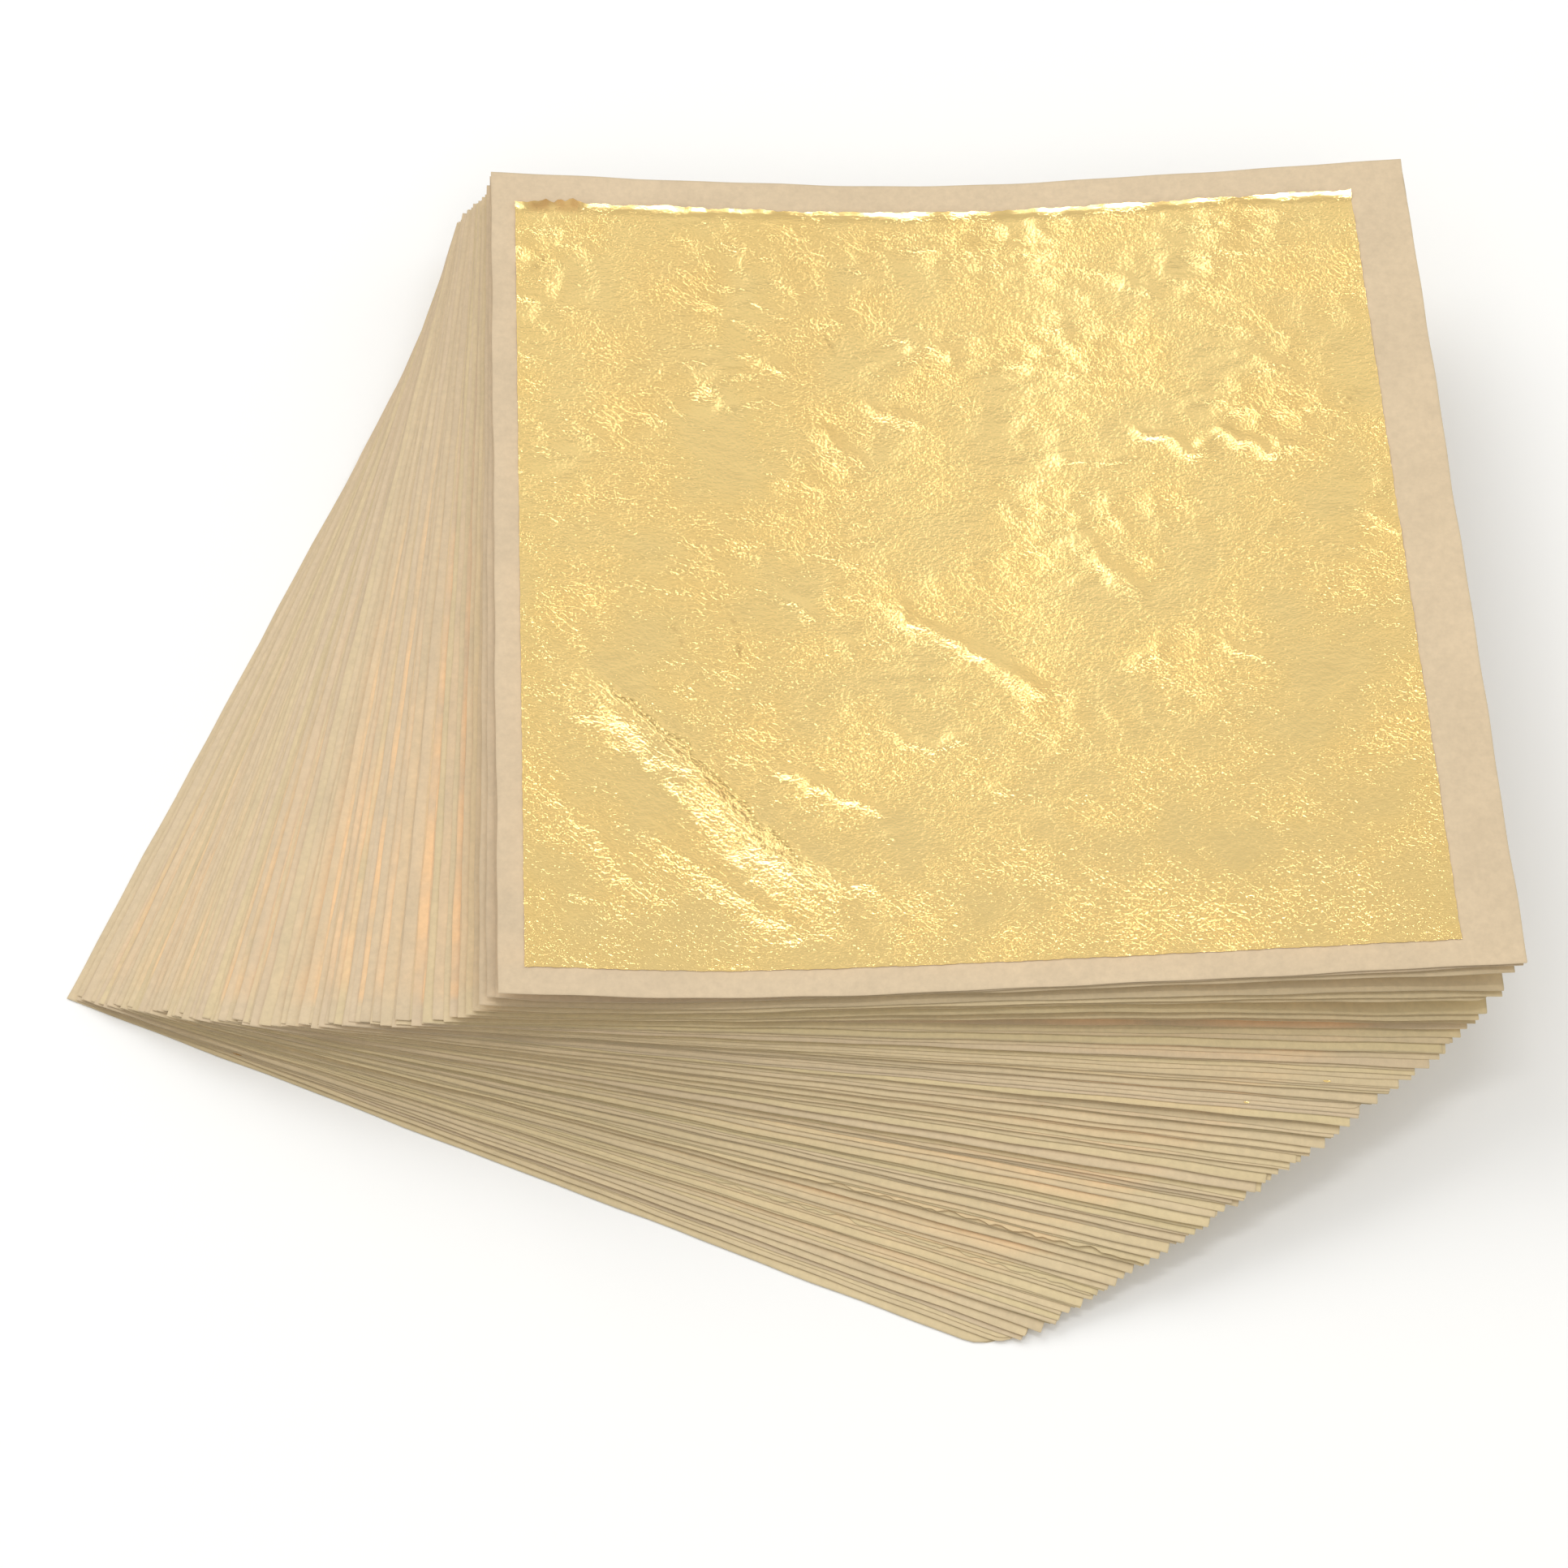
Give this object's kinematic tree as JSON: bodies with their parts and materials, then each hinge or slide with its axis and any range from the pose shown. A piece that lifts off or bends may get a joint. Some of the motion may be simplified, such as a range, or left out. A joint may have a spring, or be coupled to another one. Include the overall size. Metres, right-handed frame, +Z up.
{
  "type": "gold leaf pack",
  "caption": "Loose pack of square tissue interleaves with a square of gold leaf on each, fanned open about one corner, the top leaf bare.",
  "frame": {"origin": "centre of the lowest interleaf's underside, which rests on the table", "axes": "+X right and +Y back along the top interleaf's edges, +Z up through the pack"},
  "size_m": [0.1222, 0.1129, 0.016],
  "materials": {
    "tissue": "matte",
    "tissue_upper": "matte",
    "gold_leaf": "satin"
  },
  "bodies": {
    "clump_01": {"interleaves_01": "tissue", "leaves_01": "gold_leaf"},
    "clump_02": {"interleaves_02": "tissue", "leaves_02": "gold_leaf"},
    "clump_03": {"interleaves_03": "tissue", "leaves_03": "gold_leaf"},
    "clump_04": {"interleaves_04": "tissue", "leaves_04": "gold_leaf"},
    "clump_05": {"interleaves_05": "tissue", "leaves_05": "gold_leaf"},
    "clump_06": {"interleaves_06": "tissue", "leaves_06": "gold_leaf"},
    "clump_07": {"interleaves_07": "tissue", "leaves_07": "gold_leaf"},
    "clump_08": {"interleaves_08": "tissue", "leaves_08": "gold_leaf"},
    "clump_09": {"interleaves_09": "tissue", "leaves_09": "gold_leaf"},
    "clump_10": {"interleaves_10": "tissue", "leaves_10": "gold_leaf"},
    "clump_11": {"interleaves_11": "tissue", "leaves_11": "gold_leaf"},
    "clump_12": {"interleaves_12": "tissue", "leaves_12": "gold_leaf"},
    "clump_13": {"interleaves_13": "tissue", "leaves_13": "gold_leaf"},
    "clump_14": {"interleaves_14": "tissue", "leaves_14": "gold_leaf"},
    "clump_15": {"interleaves_15": "tissue", "leaves_15": "gold_leaf"},
    "clump_16": {"interleaves_16": "tissue", "leaves_16": "gold_leaf"},
    "clump_17": {"interleaves_17": "tissue", "leaves_17": "gold_leaf"},
    "clump_18": {"interleaves_18": "tissue", "leaves_18": "gold_leaf"},
    "upper_1": {"upper_interleaf_1": "tissue_upper", "upper_leaf_1": "gold_leaf"},
    "upper_2": {"upper_interleaf_2": "tissue_upper", "upper_leaf_2": "gold_leaf"},
    "upper_3": {"upper_interleaf_3": "tissue_upper", "upper_leaf_3": "gold_leaf"},
    "upper_4": {"upper_interleaf_4": "tissue_upper", "upper_leaf_4": "gold_leaf"},
    "upper_5": {"upper_interleaf_5": "tissue_upper", "upper_leaf_5": "gold_leaf"},
    "upper_6": {"upper_interleaf_6": "tissue_upper", "upper_leaf_6": "gold_leaf"},
    "upper_7": {"upper_interleaf_7": "tissue_upper", "upper_leaf_7": "gold_leaf"},
    "upper_8": {"upper_interleaf_8": "tissue_upper", "upper_leaf_8": "gold_leaf"},
    "upper_9": {"upper_interleaf_9": "tissue_upper", "upper_leaf_9": "gold_leaf"},
    "top_interleaf": {"top_interleaf": "tissue_upper"},
    "top_leaf": {"top_leaf": "gold_leaf"}
  },
  "joints": [
    {"name": "fan", "type": "hinge", "parent": "clump_01", "child": "upper_9", "pos_m": [-0.01956, 0.0615, 0], "axis": [0, 0, 1], "range_deg": [-23.18, 36]},
    {"name": "fan_02", "type": "hinge", "parent": "clump_01", "child": "clump_02", "pos_m": [-0.01956, 0.0615, 0], "axis": [0, 0, 1], "range_deg": [-1.21, 1.88]},
    {"name": "fan_03", "type": "hinge", "parent": "clump_01", "child": "clump_03", "pos_m": [-0.01956, 0.0615, 0], "axis": [0, 0, 1], "range_deg": [-2.42, 3.75]},
    {"name": "fan_04", "type": "hinge", "parent": "clump_01", "child": "clump_04", "pos_m": [-0.01956, 0.0615, 0], "axis": [0, 0, 1], "range_deg": [-3.63, 5.63]},
    {"name": "fan_05", "type": "hinge", "parent": "clump_01", "child": "clump_05", "pos_m": [-0.01956, 0.0615, 0], "axis": [0, 0, 1], "range_deg": [-4.83, 7.5]},
    {"name": "fan_06", "type": "hinge", "parent": "clump_01", "child": "clump_06", "pos_m": [-0.01956, 0.0615, 0], "axis": [0, 0, 1], "range_deg": [-6.04, 9.38]},
    {"name": "fan_07", "type": "hinge", "parent": "clump_01", "child": "clump_07", "pos_m": [-0.01956, 0.0615, 0], "axis": [0, 0, 1], "range_deg": [-7.25, 11.25]},
    {"name": "fan_08", "type": "hinge", "parent": "clump_01", "child": "clump_08", "pos_m": [-0.01956, 0.0615, 0], "axis": [0, 0, 1], "range_deg": [-8.46, 13.13]},
    {"name": "fan_09", "type": "hinge", "parent": "clump_01", "child": "clump_09", "pos_m": [-0.01956, 0.0615, 0], "axis": [0, 0, 1], "range_deg": [-9.66, 15]},
    {"name": "fan_10", "type": "hinge", "parent": "clump_01", "child": "clump_10", "pos_m": [-0.01956, 0.0615, 0], "axis": [0, 0, 1], "range_deg": [-10.87, 16.88]},
    {"name": "fan_11", "type": "hinge", "parent": "clump_01", "child": "clump_11", "pos_m": [-0.01956, 0.0615, 0], "axis": [0, 0, 1], "range_deg": [-12.08, 18.75]},
    {"name": "fan_12", "type": "hinge", "parent": "clump_01", "child": "clump_12", "pos_m": [-0.01956, 0.0615, 0], "axis": [0, 0, 1], "range_deg": [-13.29, 20.63]},
    {"name": "fan_13", "type": "hinge", "parent": "clump_01", "child": "clump_13", "pos_m": [-0.01956, 0.0615, 0], "axis": [0, 0, 1], "range_deg": [-14.49, 22.5]},
    {"name": "fan_14", "type": "hinge", "parent": "clump_01", "child": "clump_14", "pos_m": [-0.01956, 0.0615, 0], "axis": [0, 0, 1], "range_deg": [-15.7, 24.38]},
    {"name": "fan_15", "type": "hinge", "parent": "clump_01", "child": "clump_15", "pos_m": [-0.01956, 0.0615, 0], "axis": [0, 0, 1], "range_deg": [-16.91, 26.25]},
    {"name": "fan_16", "type": "hinge", "parent": "clump_01", "child": "clump_16", "pos_m": [-0.01956, 0.0615, 0], "axis": [0, 0, 1], "range_deg": [-18.11, 28.13]},
    {"name": "fan_17", "type": "hinge", "parent": "clump_01", "child": "clump_17", "pos_m": [-0.01956, 0.0615, 0], "axis": [0, 0, 1], "range_deg": [-19.32, 30]},
    {"name": "fan_18", "type": "hinge", "parent": "clump_01", "child": "clump_18", "pos_m": [-0.01956, 0.0615, 0], "axis": [0, 0, 1], "range_deg": [-20.53, 31.88]},
    {"name": "fan_upper_1", "type": "hinge", "parent": "clump_01", "child": "upper_1", "pos_m": [-0.01956, 0.0615, 0], "axis": [0, 0, 1], "range_deg": [-21.25, 33]},
    {"name": "fan_upper_2", "type": "hinge", "parent": "clump_01", "child": "upper_2", "pos_m": [-0.01956, 0.0615, 0], "axis": [0, 0, 1], "range_deg": [-21.49, 33.38]},
    {"name": "fan_upper_3", "type": "hinge", "parent": "clump_01", "child": "upper_3", "pos_m": [-0.01956, 0.0615, 0], "axis": [0, 0, 1], "range_deg": [-21.74, 33.75]},
    {"name": "fan_upper_4", "type": "hinge", "parent": "clump_01", "child": "upper_4", "pos_m": [-0.01956, 0.0615, 0], "axis": [0, 0, 1], "range_deg": [-21.98, 34.13]},
    {"name": "fan_upper_5", "type": "hinge", "parent": "clump_01", "child": "upper_5", "pos_m": [-0.01956, 0.0615, 0], "axis": [0, 0, 1], "range_deg": [-22.22, 34.5]},
    {"name": "fan_upper_6", "type": "hinge", "parent": "clump_01", "child": "upper_6", "pos_m": [-0.01956, 0.0615, 0], "axis": [0, 0, 1], "range_deg": [-22.46, 34.88]},
    {"name": "fan_upper_7", "type": "hinge", "parent": "clump_01", "child": "upper_7", "pos_m": [-0.01956, 0.0615, 0], "axis": [0, 0, 1], "range_deg": [-22.7, 35.25]},
    {"name": "fan_upper_8", "type": "hinge", "parent": "clump_01", "child": "upper_8", "pos_m": [-0.01956, 0.0615, 0], "axis": [0, 0, 1], "range_deg": [-22.94, 35.63]},
    {"name": "lift_interleaf", "type": "slide", "parent": "upper_9", "child": "top_interleaf", "axis": [0, 0, 1], "range_m": [0, 0.04]},
    {"name": "lift_leaf", "type": "slide", "parent": "top_interleaf", "child": "top_leaf", "axis": [0, 0, 1], "range_m": [0, 0.03]}
  ],
  "couplings": [
    {"joint": "fan_02", "follows": "fan", "ratio": 0.052083},
    {"joint": "fan_03", "follows": "fan", "ratio": 0.10417},
    {"joint": "fan_04", "follows": "fan", "ratio": 0.15625},
    {"joint": "fan_05", "follows": "fan", "ratio": 0.20833},
    {"joint": "fan_06", "follows": "fan", "ratio": 0.26042},
    {"joint": "fan_07", "follows": "fan", "ratio": 0.3125},
    {"joint": "fan_08", "follows": "fan", "ratio": 0.36458},
    {"joint": "fan_09", "follows": "fan", "ratio": 0.41667},
    {"joint": "fan_10", "follows": "fan", "ratio": 0.46875},
    {"joint": "fan_11", "follows": "fan", "ratio": 0.52083},
    {"joint": "fan_12", "follows": "fan", "ratio": 0.57292},
    {"joint": "fan_13", "follows": "fan", "ratio": 0.625},
    {"joint": "fan_14", "follows": "fan", "ratio": 0.67708},
    {"joint": "fan_15", "follows": "fan", "ratio": 0.72917},
    {"joint": "fan_16", "follows": "fan", "ratio": 0.78125},
    {"joint": "fan_17", "follows": "fan", "ratio": 0.83333},
    {"joint": "fan_18", "follows": "fan", "ratio": 0.88542},
    {"joint": "fan_upper_1", "follows": "fan", "ratio": 0.91667},
    {"joint": "fan_upper_2", "follows": "fan", "ratio": 0.92708},
    {"joint": "fan_upper_3", "follows": "fan", "ratio": 0.9375},
    {"joint": "fan_upper_4", "follows": "fan", "ratio": 0.94792},
    {"joint": "fan_upper_5", "follows": "fan", "ratio": 0.95833},
    {"joint": "fan_upper_6", "follows": "fan", "ratio": 0.96875},
    {"joint": "fan_upper_7", "follows": "fan", "ratio": 0.97917},
    {"joint": "fan_upper_8", "follows": "fan", "ratio": 0.98958}
  ]
}
